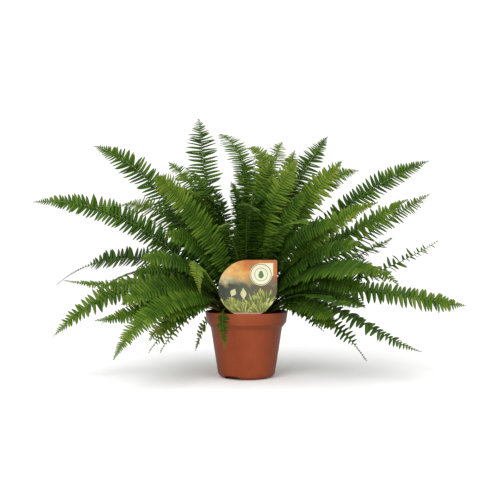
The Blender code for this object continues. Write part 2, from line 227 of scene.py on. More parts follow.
# what differs from one packed frond to the next, side by side in the order of their numbers:
# tone: 0 dark to 1 yellow-green, the frond's own green with painted shade and painted light for where it
# stands; size: of the leaflets; gap: between them;
# thin: share of the length at the tip with stunted leaflets; taper: share over which they shorten;
# ragged: their unevenness; droop: how far their ends hang; front: share turned to face the front;
# skyward: share of the climb turned back to face the sky; turn and twist: degrees about the stalk;
# bend: how far the outer half is drawn aside, in metres; bare: stalk without leaflets, in metres
frondLooks = {
    "left": [
        dict(tone=0.4, size=1.15, droop=0.1, turn=8, bend=(0.0, 0.0, 0.003), gap=0.92, skyward=0.3),
        dict(tone=0.4, size=1.15, droop=-0.1, turn=8, taper=0.42, bend=(0.0, 0.0, 0.0005), gap=0.92),
        dict(tone=0.6, size=1.4, skyward=0.25, gap=0.8, front=0.3),
        dict(tone=0.56, size=1.05, gap=0.75, front=1.0, skyward=0.0, ragged=0.15),
        dict(tone=0.58, size=0.95, gap=0.68, front=0.75, ragged=0.14, taper=0.16),
        dict(tone=0.42, size=1.5, thin=0.28, droop=0.0, ragged=0.08, bend=(0.0, 0.0, 0.003), gap=0.88),
        dict(tone=0.6, size=0.85, gap=0.75, bend=(0.004, 0.0, -0.022), taper=0.6, ragged=0.15),
        dict(tone=0.56, size=1.15, droop=0.0, turn=14, bend=(0.0, 0.0, 0.005), ragged=0.12, taper=0.38),
        dict(tone=0.55, size=1.05, gap=0.75, front=0.5, taper=0.6),
        dict(tone=0.56, size=0.82, gap=0.7, bend=(0.0, 0.0, -0.007), front=0.5, taper=0.5),
        dict(tone=0.3, thin=0.9),
        dict(tone=0.85, size=0.9, thin=0.2, droop=0.3, ragged=0.15, front=0.8),
        dict(tone=0.85, size=0.8, thin=0.22, droop=0.3, ragged=0.15, front=0.8),
        dict(tone=1.0, size=1.15, front=0.6, taper=0.4, ragged=0.14, droop=0.4, skyward=0.9),
        dict(tone=0.7, size=0.8, front=0.3, skyward=0.0),
        dict(tone=0.8, size=0.95, droop=0.3, ragged=0.15, front=0.8),
    ],
    "top": [
        dict(tone=0.36, size=1.12, skyward=0.32, gap=0.88, front=0.95, twist=0, taper=0.24),
        dict(tone=0.5, size=1.2, gap=0.66, bend=(0.022, 0.0, 0.006), front=0.7, skyward=0.08, taper=0.16),
        dict(tone=0.6, size=1.2, gap=0.7, bend=(-0.016, 0.0, 0.002), front=0.6, skyward=0.15, ragged=0.14),
        dict(tone=0.64, size=1.45, gap=0.68, front=0.75, skyward=0.2, ragged=0.16, taper=0.2),
        dict(tone=0.56, size=1.25, gap=0.8, front=0.7, skyward=0.08, bend=(0.012, 0.0, 0.003)),
        dict(tone=0.58, size=1.25, gap=0.7, front=0.7, skyward=0.1, ragged=0.14),
    ],
    "right": [
        dict(tone=0.36, size=1.15, gap=0.72, front=0.85, skyward=0.15),
        dict(tone=0.64, size=1.3, gap=0.7, front=0.6, skyward=0.2, ragged=0.16),
        dict(tone=0.52, size=1.3, gap=0.72, front=0.9, skyward=0.0),
        dict(tone=0.38, size=1.12, droop=0.3, bend=(0.0, 0.0, -0.003), gap=0.95, skyward=0.2),
        dict(tone=0.66, size=0.98, gap=0.68, bend=(0.0, 0.0, -0.005), front=0.55, ragged=0.13, taper=0.45),
        dict(tone=0.56, size=0.95, gap=0.85, turn=-8, ragged=0.14),
        dict(tone=0.5, size=1.05, gap=0.75, front=0.3, ragged=0.15),
        dict(tone=0.55, size=1.9, gap=0.8, ragged=0.3),
        dict(tone=0.45, size=1.7, gap=1.25, ragged=0.3),
        dict(tone=0.48, size=1.05, bend=(0.0, 0.0, -0.008), ragged=0.2),
        dict(tone=0.34, size=0.95, gap=0.72, bend=(0.0, 0.0, -0.005), front=0.15),
        dict(tone=0.52, size=1.12, turn=-6, droop=1.2, bend=(0.0, 0.0, -0.001)),
        dict(tone=0.45, size=1.3, thin=0.2, bend=(0.0, 0.0, -0.008), ragged=0.2),
        dict(tone=0.4, size=1.3, turn=-18, droop=1.8, bend=(0.0, 0.0, -0.006), taper=0.6, ragged=0.14),
        dict(tone=0.42, size=1.2, thin=0.25, front=0.6),
        dict(tone=0.4, size=1.2, thin=0.25, front=0.6),
        dict(tone=0.5, size=1.2, gap=0.75, bend=(0.0, 0.0, -0.008)),
        dict(tone=0.46, size=1.2, thin=0.2),
    ],
    "front": [
        dict(tone=0.34, size=1.45, gap=0.5, taper=0.9, front=0.8, ragged=0.15, droop=1.2),
        dict(tone=0.46, size=0.85, gap=0.72, twist=40),
        dict(tone=0.3, gap=0.72, twist=-50),
        dict(tone=0.42, size=0.85, gap=0.72, twist=40),
    ],
}

# shorter fronds between the imported ones: tip, degrees of climb at the crown and at the tip,
# half width, share turned to the front, and tone, which carries painted shade deep in the clump
innerFronds = [
    ((-0.088, 0.000, 0.303), 78, 40, 0.018, 0.5, 0.42),
    ((-0.100, -0.050, 0.272), 74, 30, 0.019, 0.6, 0.45),
    ((-0.060, 0.018, 0.285), 80, 50, 0.019, 0.4, 0.30),
    ((-0.128, 0.050, 0.240), 66, 10, 0.018, 0.4, 0.32),
    ((-0.140, -0.100, 0.172), 60, -8, 0.019, 0.4, 0.40),
    ((-0.160, -0.040, 0.150), 56, -16, 0.019, 0.5, 0.32),
    ((-0.165, -0.110, 0.112), 52, -30, 0.019, 0.5, 0.45),
    ((-0.145, -0.115, 0.085), 52, -48, 0.018, 0.4, 0.40),
    ((-0.120, -0.020, 0.105), 50, -40, 0.017, 0.3, 0.26),
    ((-0.110, -0.080, 0.205), 72, 0, 0.017, 0.6, 0.35),
    ((0.150, -0.105, 0.190), 62, 0, 0.019, 0.5, 0.32),
    ((0.155, -0.115, 0.128), 56, -30, 0.019, 0.4, 0.35),
    ((0.150, 0.018, 0.205), 58, 8, 0.019, 0.5, 0.26),
    ((0.170, -0.040, 0.160), 50, -6, 0.018, 0.4, 0.30),
    ((0.160, -0.080, 0.105), 48, -30, 0.018, 0.4, 0.34),
    ((0.082, -0.060, 0.262), 78, 40, 0.019, 0.6, 0.36),
    ((0.110, 0.018, 0.285), 74, 40, 0.019, 0.5, 0.30),
    ((0.120, -0.030, 0.090), 48, -50, 0.018, 0.3, 0.24),
    ((0.118, -0.070, 0.076), 38, -50, 0.017, 0.4, 0.40),
    ((-0.120, -0.070, 0.070), 38, -50, 0.016, 0.5, 0.55),
    ((-0.112, -0.100, 0.092), 34, -30, 0.016, 0.4, 0.50),
    ((0.112, -0.100, 0.092), 34, -30, 0.016, 0.4, 0.40),
    ((0.010, -0.060, 0.268), 84, 40, 0.019, 0.4, 0.24),
    ((0.042, -0.030, 0.292), 84, 60, 0.019, 0.7, 0.40),
    ((-0.022, -0.020, 0.282), 84, 60, 0.019, 0.5, 0.24),
    ((0.030, 0.040, 0.335), 86, 60, 0.018, 0.8, 0.44),
    ((0.045, -0.010, 0.318), 84, 50, 0.018, 0.8, 0.50),
    ((-0.005, 0.070, 0.322), 84, 50, 0.018, 0.6, 0.30),
    ((0.055, 0.080, 0.300), 82, 46, 0.018, 0.6, 0.30),
    ((0.120, -0.085, 0.215), 74, -10, 0.017, 0.5, 0.32),
]

# seeded fronds that close up the middle from every side
heartFronds = {
    "count": 24, "seed": 31, "halfWidth": 0.019, "height": (0.16, 0.27), "reach": (0.05, 0.13),
    # those that would stand before the label are moved back and up
    "clearFrom": -0.03, "clearHalf": 0.085, "movedTo": (-0.02, 0.26),
}

# short low fronds that spread over the pot's rim, except where the label stands
collarFronds = {
    "count": 26, "seed": 12, "halfWidth": 0.016, "height": (0.096, 0.128), "reach": (0.072, 0.118),
    "from": -36, "over": 258,     # degrees
}


# the diamond section of a packed frond's stalk, and where its teeth reach
packedStalk = {"width": 0.0020, "height": 0.0016, "slack": 2e-5, "toothReach": 1.0488, "crown": (0, 0, 0.085)}


def readStalk(node):
    # the diamond rings of a packed frond: centres and upper sides from the crown out, and the half width
    tall, slack = packedStalk["height"], packedStalk["slack"]
    seen = np.unique(np.round([v.co for v in node.data.vertices], 6), axis=0)
    gap = np.linalg.norm(seen[:, None] - seen[None], axis=-1)
    sides = [(a, b) for a, b in np.argwhere(np.abs(gap - packedStalk["width"]) < slack) if a < b]
    rings = []
    for a, b in np.argwhere(np.abs(gap - tall) < slack):
        if a < b:
            middle = (seen[a] + seen[b]) / 2
            for c, d in sides:
                if np.linalg.norm((seen[c] + seen[d]) / 2 - middle) < slack:
                    rings.append((middle, (seen[a] - seen[b]) / tall, (a, b, c, d)))
    left = list(range(len(rings)))
    order = [min(left, key=lambda i: np.linalg.norm(rings[i][0] - packedStalk["crown"]))]
    left.remove(order[0])
    while left:
        last = rings[order[-1]][0]
        order.append(min(left, key=lambda i: np.linalg.norm(rings[i][0] - last)))
        left.remove(order[-1])
    centres = np.array([rings[i][0] for i in order])
    ups = np.array([rings[i][1] for i in order])
    for i in range(1, len(ups)):
        if ups[i] @ ups[i - 1] < 0:
            ups[i] = -ups[i]
    used = {v for i in order for v in rings[i][2]}
    teeth = seen[[i for i in range(len(seen)) if i not in used]]
    middles = (centres[1:] + centres[:-1]) / 2
    nearest = np.argmin(np.linalg.norm(teeth[:, None] - middles[None], axis=-1), 1)
    offsets = teeth - middles[nearest]
    if np.sum(offsets * ups[nearest]) > 0:
        ups = -ups
    reach = np.linalg.norm(offsets, axis=1) / packedStalk["toothReach"]
    return centres, ups, float(reach.max())


# the arch of a frond that isn't packed: where it leaves the crown, and how stiffly
fillerArc = {"foot": 0.088, "core": 0.006, "spread": 0.030, "leave": 0.42, "land": 0.34, "points": 16}


def arcStalk(row):
    # the same three things for a frond that isn't packed
    tip, climb, arrive, halfWidth = row[:4]
    tip = np.array(tip)
    heading = math.atan2(tip[1], tip[0])
    outward = np.array([math.cos(heading), math.sin(heading), 0.0])
    upright = np.array([0.0, 0.0, 1.0])
    out = fillerArc["core"] + fillerArc["spread"] * math.cos(math.radians(climb)) ** 0.75
    start = outward * out + upright * fillerArc["foot"]
    reach = np.linalg.norm(tip - start)
    leave, land = (outward * math.cos(math.radians(a)) + upright * math.sin(math.radians(a))
                   for a in (climb, arrive))
    b, c = start + leave * reach * fillerArc["leave"], tip - land * reach * fillerArc["land"]
    t = np.linspace(0.0, 1.0, fillerArc["points"])[:, None]
    centres = start * (1 - t)**3 + b * 3 * t * (1 - t)**2 + c * 3 * t**2 * (1 - t) + tip * t**3
    forward = unit(np.gradient(centres, axis=0))
    side = np.array([-math.sin(heading), math.cos(heading), 0.0])
    return centres, unit(np.cross(forward, side)), halfWidth


def unit(v):
    return v / np.maximum(np.linalg.norm(v, axis=-1, keepdims=True), 1e-12)


def followStalk(centres, ups, distances):
    # points, forward, left and up directions at distances along a smooth line through the centres
    steps = np.linalg.norm(np.diff(centres, axis=0), axis=1)
    t = np.concatenate([[0.0], np.cumsum(steps)])
    slopes = np.gradient(centres, t, axis=0, edge_order=2 if len(t) > 2 else 1)
    i = np.clip(np.searchsorted(t, distances, side="right") - 1, 0, len(t) - 2)
    span = t[i + 1] - t[i]
    x = ((distances - t[i]) / span)[:, None]
    a, b, c, d = centres[i], centres[i + 1], slopes[i] * span[:, None], slopes[i + 1] * span[:, None]
    spots = (a * (2 * x**3 - 3 * x**2 + 1) + c * (x**3 - 2 * x**2 + x)
             + b * (3 * x**2 - 2 * x**3) + d * (x**3 - x**2))
    forward = unit((a - b) * (6 * x**2 - 6 * x) + c * (3 * x**2 - 4 * x + 1) + d * (3 * x**2 - 2 * x))
    up = ups[i] * (1 - x) + ups[i + 1] * x
    up = unit(up - forward * np.sum(up * forward, 1, keepdims=True))
    return spots, forward, np.cross(up, forward), up


def angleToFront(forward, ups):
    # how far the upper side has to turn about the stalk, halfway along, to face the front
    way, up = forward[len(forward) // 2], ups[len(ups) // 2]
    front = np.array([0.0, -1.0, 0.0])
    front = front - way * (way @ front)
    return math.atan2(way @ np.cross(up, front), up @ front)


def leafletPattern(build):
    # one leaflet's points as along, across and height shares, with its faces
    count = build["stations"]
    s = np.linspace(0.0, 1.0, count + 1)[1:-1] ** 1.15
    s[0] = 0.015
    profile = (1 - s**5) ** 0.8 * (1 - 0.40 * s) * np.minimum(1.0, 0.90 + s / 0.30)
    tooth = 1.0 - build["toothDepth"] * (np.arange(len(s)) % 2)
    ear = build["earSize"] * np.exp(-((s - build["earAt"]) / build["earSpread"]) ** 2)
    dip, fold = -build["edgeDip"], build["fold"]
    along, across, height, side = [0.0], [0.0], [0.0], [0.0]
    for j, at in enumerate(s):
        upper = profile[j] * (1 + ear[j])
        lower = profile[j] * build["lowerSide"]
        for w, share, z in ((-1, lower * tooth[j], dip), (-0.5, lower * 0.5, fold), (0, 0, 0.0),
                            (0.5, upper * 0.5, fold), (1, upper * tooth[j], dip), (0, 0, -build["keel"])):
            along.append(at)
            across.append(math.copysign(share, w) if w else 0.0)
            height.append(z * (profile[j] + 0.3) / 1.3)
            side.append(w)
    for values, last in ((along, 1.0), (across, 0.0), (height, 0.0), (side, 0.0)):
        values.append(last)
    rows = len(s)
    at = 1 + np.arange(rows * 6).reshape(rows, 6)
    tip = rows * 6 + 1
    top = np.concatenate([np.stack([at[:-1, k], at[:-1, k + 1], at[1:, k + 1], at[1:, k]], -1)
                          for k in range(4)])
    under = np.concatenate([np.stack([at[1:, k], at[1:, m], at[:-1, m], at[:-1, k]], -1)
                            for k, m in ((0, 5), (5, 4))])
    topEnds = [(0, at[0, k + 1], at[0, k]) for k in range(4)]
    topEnds += [(tip, at[-1, k], at[-1, k + 1]) for k in range(4)]
    underEnds = [(0, at[0, 0], at[0, 5]), (0, at[0, 5], at[0, 4])]
    underEnds += [(tip, at[-1, 5], at[-1, 0]), (tip, at[-1, 4], at[-1, 5])]
    return (np.array(along), np.array(across), np.array(height), np.array(side),
            top, under, np.array(topEnds), np.array(underEnds))


pattern = leafletPattern(frondBuild)


def leafletPlaces(length, build, look):
    # distances along the stalk of one side's leaflets, with each one's share of the full length
    bare = look.get("bare", build["bareStalk"])
    places, at = [], bare
    while at < length - 0.001:
        places.append(at)
        share = min(1.0, (length - at) / (0.26 * length))
        at += build["leafletGap"] * look.get("gap", 1.0) * (
            build["tipGapShare"] + (1 - build["tipGapShare"]) * share ** 0.8)
    places = np.array(places)
    leafy = (places - bare) / (length - bare)
    toTip = np.clip((1 - leafy) / look.get("taper", 0.28), 0, 1)
    toBase = np.clip(leafy / 0.30, 0, 1)
    size = (1 - (1 - toTip) ** 1.9) * (0.50 + 0.50 * (1 - (1 - toBase) ** 2))
    thin = look.get("thin", 0.0)
    if thin:
        size *= np.clip(0.18 + 0.82 * np.clip((1 - leafy - thin) / 0.12 + 0.5, 0, 1), 0, 1)
    return places, leafy, size


def stalkTube(centres, ups, length, build, first, cells):
    # the stalk, a thin tube that tapers to the tip: points, quads, caps, their maps and shares of the length
    sides = build["stalkSides"]
    stops = np.linspace(0.0, length * 0.998, max(12, int(length / 0.005)))
    centre, forward, left, up = followStalk(centres, ups, stops)
    share = stops / length
    radius = build["stalkRadius"] * (1 - share) ** 0.8 + build["stalkTipRadius"]
    around = fullTurn(sides)
    tube = (centre[:, None] + left[:, None] * np.cos(around)[None, :, None] * radius[:, None, None]
            + up[:, None] * (np.sin(around) * 0.8)[None, :, None] * radius[:, None, None])
    rows = len(stops)
    at = first + np.arange(rows * sides).reshape(rows, sides)
    wrapped = np.concatenate([at, at[:, :1]], 1)
    quads = np.stack([wrapped[:-1, :-1], wrapped[:-1, 1:], wrapped[1:, 1:], wrapped[1:, :-1]], -1)
    row = np.arange(rows) / (rows - 1)
    turn = np.arange(sides + 1) / (sides + 1.0)
    grid = np.stack(np.broadcast_arrays(row[:, None], (cells + 0.1 + 0.8 * turn[None]) / (cells + 1)), -1)
    maps = np.stack([grid[:-1, :-1], grid[:-1, 1:], grid[1:, 1:], grid[1:, :-1]], -2)
    caps = [at[0, ::-1][None], at[-1][None]]
    return (tube.reshape(-1, 3), quads.reshape(-1, 4), maps.reshape(-1, 2), caps,
            np.full((2 * sides, 2), 0.999), np.repeat(share, sides))


def buildFrond(name, stalk, look, finish):
    build = frondBuild
    rng = np.random.default_rng(build["seed"] + sum(ord(c) * (i + 3) for i, c in enumerate(name)))
    centres, ups, halfWidth = stalk
    forward = unit(np.gradient(centres, axis=0))
    share = np.linspace(0.0, 1.0, len(centres))[:, None]
    roll = math.radians(look.get("turn", 0) * (1 if centres[-1][0] > 0 else -1))
    roll = roll + look.get("front", 0) * angleToFront(forward, ups)
    roll = roll + math.radians(look.get("twist", rng.normal(0, build["twist"]))) * (share - 0.4)
    ups = unit(ups * np.cos(roll) + np.cross(forward, ups) * np.sin(roll))
    if "bend" in look:
        centres = centres + np.array(look["bend"]) * np.sin(math.pi * share**1.6)
    length = float(np.linalg.norm(np.diff(centres, axis=0), axis=1).sum())
    tone = look.get("tone", 0.30 + 0.22 * rng.random())
    along, across, height, side, top, under, topEnds, underEnds = pattern
    points, quads, tris, quadMaps, triMaps, places, tones = [], [], [], [], [], [], []
    first = 0
    spots, leafy, size = leafletPlaces(length, build, look)
    cells = int(math.ceil(math.sqrt(2 * len(spots)))) + 1
    cell = 0
    for hand in (1, -1):
        # the two sides stand half a step apart
        at = np.clip(spots + build["leafletGap"] * 0.25 * hand, 0, length * 0.9995)
        centre, forward, left, up = followStalk(centres, ups, at)
        count = len(at)
        ragged = look.get("ragged", build["ragged"])
        leafletLength = halfWidth * size * look.get("size", 1.0) * (1 + rng.normal(0, ragged, count))
        leafletLength = np.maximum(leafletLength, build["shortest"])
        step = np.gradient(spots) if count > 1 else np.full(1, build["leafletGap"])
        halfWide = np.minimum(leafletLength * build["leafletWidth"] + 0.0006, step * build["widthOfGap"])
        halfWide = np.minimum(halfWide, build["widest"])
        lean = np.radians(build["lean"] + (build["leanTip"] - build["lean"]) * leafy**3
                          + rng.normal(0, 2.0 + 30 * ragged, count))[:, None]
        outward = left * hand
        skyward = np.arcsin(np.clip(forward[:, 2:], -1, 1)) * look.get("skyward", build["skyward"])
        roll = rng.normal(0, 0.05 + ragged, count)[:, None] + skyward + build["shingle"]
        o = outward * np.cos(lean) + forward * np.sin(lean)
        f = forward * np.cos(lean) - outward * np.sin(lean)
        flat, lifted = f * np.cos(roll) - up * np.sin(roll), up * np.cos(roll) + f * np.sin(roll)
        foot = centre + outward * 0.0002 + up * 0.0003
        lengths = leafletLength[:, None, None]
        wide = halfWide[:, None, None]
        bend = (build["droop"] * look.get("droop", 1.0) * (1 + rng.normal(0, 0.35, count)))[:, None, None]
        far, broad, raised = along[None, :, None], across[None, :, None], height[None, :, None]
        ripple = rng.normal(0, 0.05, (count, 1, 1)) * np.sin(far * 5.0 + rng.random((count, 1, 1)) * 6)
        grid = (foot[:, None] + o[:, None] * lengths * far
                + flat[:, None] * (lengths * build["sickle"] * far**2 + wide * broad)
                + lifted[:, None] * (lengths * (build["rise"] * far - bend * far**2 + ripple * far * 0.6)
                                     + wide * raised))
        points.append(grid.reshape(-1, 3))
        base = first + np.arange(count)[:, None, None] * len(along)
        topNow, underNow = top[None] + base, under[None] + base
        endsTop, endsUnder = topEnds[None] + base, underEnds[None] + base
        if hand < 0:
            topNow, underNow = topNow[..., ::-1], underNow[..., ::-1]
            endsTop, endsUnder = endsTop[..., ::-1], endsUnder[..., ::-1]
        index = cell + np.arange(count)
        corner = np.stack([index % cells, index // cells], -1)[:, None, :]
        upperMap, underMap = ((corner + np.stack([0.05 + 0.9 * along, row + 0.20 * side], -1)[None])
                              / (cells + 1) for row in (0.74, 0.26))
        for block, store, maps, source in (
                (topNow, quads, quadMaps, upperMap), (underNow, quads, quadMaps, underMap),
                (endsTop, tris, triMaps, upperMap), (endsUnder, tris, triMaps, underMap)):
            corners = block.shape[-1]
            local = (block - base).reshape(count, -1)
            maps.append(np.take_along_axis(source, local[..., None], 1).reshape(-1, 2))
            store.append(block.reshape(-1, corners))
        first += count * len(along)
        cell += count
        places.append(np.stack([np.broadcast_to(along, (count, len(along))),
                                np.broadcast_to(side, (count, len(along))),
                                np.zeros((count, len(along)))], -1).reshape(-1, 3))
        # painted shade and light: leaflets darker towards the crown, deep in the clump, and lighter towards
        # the frond's tip where the light falls, over the frond's tone and a random spread
        toneWithShadeAndLight = tone - 0.12 * (1 - leafy) ** 2 + 0.30 * leafy**3 + rng.normal(0, 0.07, count)
        tones.append(np.repeat(toneWithShadeAndLight, len(along)))

    tube, tubeQuads, tubeMaps, caps, capMaps, shares = stalkTube(centres, ups, length, build, first, cells)
    points.append(tube)
    quads.append(tubeQuads)
    quadMaps.append(tubeMaps)
    places.append(np.stack([shares, np.zeros(len(shares)), np.ones(len(shares))], -1))
    tones.append(np.full(len(shares), tone))
    return makeObject(
        name, np.clip(np.concatenate(points), cadLow, cadHigh),
        [np.concatenate(quads), np.concatenate(tris), *caps], finish,
        loopMaps=np.concatenate([*quadMaps, *triMaps, capMaps]),
        pointFields={"leafPlace": ("FLOAT_VECTOR", np.concatenate(places)),
                     "leafTone": ("FLOAT", np.concatenate(tones))})


def frondFinish():
    finish = newFinish("frond green", 0.5, 0.05)
    where = placeOf()
    place = put("Attribute", attribute_name="leafPlace").outputs["Vector"]
    tone = put("Attribute", attribute_name="leafTone").outputs["Fac"]
    parts = put("SeparateXYZ", {0: place})
    along, across, stalk = parts.outputs[0], parts.outputs[1], parts.outputs[2]
    broad = grain(where, 28.0, 2.0)
    fine = grain(where, 900.0, 2.0)
    shade = calc("ADD", tone, between(broad, 0.3, 0.7, -0.10, 0.10))
    # painted shade and light: each leaflet darker at its foot by the stalk and lighter towards its tip, and
    # darker along its lower edge where the next leaflet would shade it
    shade = calc("ADD", shade, between(along, 0.0, 1.0, -0.10, 0.10))
    shade = calc("ADD", shade, between(across, -1.0, 0.2, -0.14, 0.04))
    green = ramp(shade, [(0.0, (0.0052, 0.0165, 0.0010)), (0.25, (0.0130, 0.041, 0.0018)),
                         (0.5, (0.037, 0.090, 0.0045)), (0.75, (0.102, 0.166, 0.0140)),
                         (1.0, (0.195, 0.236, 0.035))])
    # side veins run out from the midrib and forward
    out = calc("ABSOLUTE", across)
    veins = calc("SUBTRACT", along, calc("MULTIPLY", out, 0.05))
    veins = calc("SINE", calc("MULTIPLY", veins, 82.0))
    rib = between(out, 0.0, 0.16, 1.0, 0.0)
    green = blend(between(veins, 0.2, 1.0, 0.0, 0.22), green, (0.055, 0.105, 0.012))
    green = blend(calc("MULTIPLY", rib, 0.45), green, (0.080, 0.130, 0.022))
    stalkGreen = ramp(along, [(0.0, (0.045, 0.022, 0.008)), (0.18, (0.050, 0.046, 0.008)),
                              (0.5, (0.060, 0.090, 0.010)), (1.0, (0.080, 0.125, 0.014))])
    colour = blend(stalk, green, stalkGreen)
    colour = blend(between(fine, 0.45, 0.75, 0.0, 0.25), colour, (0.02, 0.05, 0.01))
    dull = between(calc("ADD", fine, grain(where, 3.0, 1.0)), 0.6, 1.4, 0.42, 0.62)
    relief = calc("ADD", calc("MULTIPLY", veins, 0.6), calc("MULTIPLY", rib, -1.2))
    wireUp(colour, dull, relief, 0.00012, 0.7)
    return finish


frondGreen = frondFinish()
for name, node in sorted(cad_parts.items()):
    if "_frond_" in name:
        side, _, number = name.split("_")
        look = frondLooks[side][int(number) - 1] if side in frondLooks else {}
        piece = buildFrond(name + "_leafy", readStalk(node), look, frondGreen)
        rideRoot(piece, "frond_green", name)
for i, row in enumerate(innerFronds):
    look = {"front": row[4], "tone": row[5], "gap": 0.75}
    rideRoot(buildFrond(f"inner_frond_{i + 1:02d}", arcStalk(row), look, frondGreen), "frond_green")
dice = np.random.default_rng(heartFronds["seed"])
for i in range(heartFronds["count"]):
    angle = (i + dice.uniform(-0.3, 0.3)) / heartFronds["count"] * 2 * math.pi
    reach, height = dice.uniform(*heartFronds["reach"]), dice.uniform(*heartFronds["height"])
    tip = (reach * math.cos(angle), reach * math.sin(angle), height)
    if tip[1] < heartFronds["clearFrom"] and abs(tip[0]) < heartFronds["clearHalf"]:
        tip = (tip[0] * 1.2, *heartFronds["movedTo"])
    row = (tip, 86 - reach * 160, dice.uniform(-10, 50), heartFronds["halfWidth"])
    look = {"gap": 0.8, "tone": dice.uniform(0.22, 0.42), "twist": dice.uniform(-60, 60)}
    rideRoot(buildFrond(f"heart_frond_{i + 1:02d}", arcStalk(row), look, frondGreen), "frond_green")
dice = np.random.default_rng(collarFronds["seed"])
for i in range(collarFronds["count"]):
    angle = math.radians(collarFronds["from"]) + (
        (i + dice.uniform(-0.3, 0.3)) / collarFronds["count"] * math.radians(collarFronds["over"]))
    reach, height = dice.uniform(*collarFronds["reach"]), dice.uniform(*collarFronds["height"])
    row = ((reach * math.cos(angle), reach * math.sin(angle), height), dice.uniform(35, 60),
           dice.uniform(-50, -10), collarFronds["halfWidth"])
    look = {"gap": 0.62, "bare": 0.020, "tone": dice.uniform(0.25, 0.50)}
    rideRoot(buildFrond(f"collar_frond_{i + 1:02d}", arcStalk(row), look, frondGreen), "frond_green")
print("fronds built")


potBuild = {
    "steps": 144,
    "rimBand": 0.016,                     # height of the collar
    "collarShare": 0.0578 / 0.060,        # radii against the rim's: foot of the collar,
    "shoulderShare": 0.052 / 0.060,       # top of the tapering wall
    "baseShare": 0.042 / 0.060,           # and foot of the pot
    "shoulderDrop": 0.0064,               # height of the crease under the collar
    "baseRounding": 0.009,
    "wall": 0.0014,
    "lip": 0.0007,                        # rounding of the rim's edge
    "sharpFrom": 38,                      # degrees
    "drainTurns": (-122.0, -2.0, 118.0),  # degrees about the axis
    "drainWidth": 0.028,
    "drainHeight": 0.0052,
    "drainFrom": 0.027,                   # from the axis
}


def potProfile(rim, top, build):
    wall, lip = build["wall"], build["lip"]
    collar, shoulder, base = (rim * build[k] for k in ("collarShare", "shoulderShare", "baseShare"))
    bandFoot = top - build["rimBand"]
    shoulderTop = bandFoot - build["shoulderDrop"]
    rounding = build["baseRounding"]
    outer = [(0.0, 0.0), (base * 0.45, 0.0), (base - rounding, 0.0)]
    draft = (shoulder - base) / (shoulderTop - rounding)
    for i in range(1, 8):
        angle = math.radians(-90 + i * 90 / 7)
        outer.append((base - rounding + rounding * math.cos(angle), rounding + rounding * math.sin(angle)))
    for i in range(1, 9):
        z = rounding + (shoulderTop - 0.0012 - rounding) * i / 8
        outer.append((base + draft * (z - rounding), z))
    outer += [(shoulder + 0.0004, shoulderTop), (shoulder + 0.0014, shoulderTop + 0.0009),
              (collar - 0.0012, bandFoot - 0.0010), (collar - 0.0003, bandFoot - 0.0003),
              (collar, bandFoot + 0.0005), (collar + (rim - collar) * 0.5, bandFoot + build["rimBand"] * 0.5)]
    outer += [(rim - lip + lip * math.cos(a), top - lip + lip * math.sin(a))
              for a in (0.0, 0.5, 1.05, 1.57)]
    inner = [(rim - wall + 0.0004, top - 0.0001), (rim - wall - 0.0002, top - 0.0008),
             (collar - wall, bandFoot + 0.0004), (collar - wall - 0.0014, bandFoot - 0.0009),
             (shoulder - wall + 0.0008, shoulderTop), (shoulder - wall, shoulderTop - 0.0012),
             (base - wall, rounding + 0.001), (base - wall - 0.004, wall + 0.0015),
             (base - rounding - 0.002, wall), (0.0, wall)]
    return outer + inner


def buildPot(finish):
    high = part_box("pot")[1]
    rim, top = high.x, high.z
    profile = potProfile(rim, top, potBuild)
    points, quads = lathe(profile[1:-1], potBuild["steps"])
    count, steps = len(points), potBuild["steps"]
    ring = np.arange(steps)
    caps = [ring[::-1][None], (count - steps + ring)[None]]
    pot = makeObject("pot_moulded", points, [quads, *caps], finish, smooth=potBuild["sharpFrom"])
    for turn in potBuild["drainTurns"]:
        cutter = bpy.data.meshes.new("drain")
        shape = bmesh.new()
        half, tall = potBuild["drainWidth"] / 2, potBuild["drainHeight"]
        arch = [(-half, -0.002), (half, -0.002)]
        arch += [(half * math.cos(a), tall * math.sin(a) ** 0.6)
                 for a in np.linspace(0.05, math.pi - 0.05, 16)]
        rings = [[shape.verts.new((x, y, z)) for y, z in arch] for x in (potBuild["drainFrom"], rim + 0.01)]
        shape.faces.new(rings[0])
        shape.faces.new(rings[1][::-1])
        for k in range(len(arch)):
            m = (k + 1) % len(arch)
            shape.faces.new((rings[0][k], rings[1][k], rings[1][m], rings[0][m]))
        bmesh.ops.recalc_face_normals(shape, faces=shape.faces)
        shape.to_mesh(cutter)
        shape.free()
        tool = addObject("drain", cutter)
        tool.matrix_world = Matrix.Rotation(math.radians(turn), 4, "Z")
        cut = pot.modifiers.new("drain", "BOOLEAN")
        cut.object, cut.solver, cut.operation = tool, "EXACT", "DIFFERENCE"
        bpy.context.view_layer.objects.active = pot
        bpy.ops.object.modifier_apply(modifier=cut.name)
        bpy.data.objects.remove(tool)
    pot.data.set_sharp_from_angle(angle=math.radians(potBuild["sharpFrom"]))
    return rideRoot(pot, "pot_plastic", "pot")


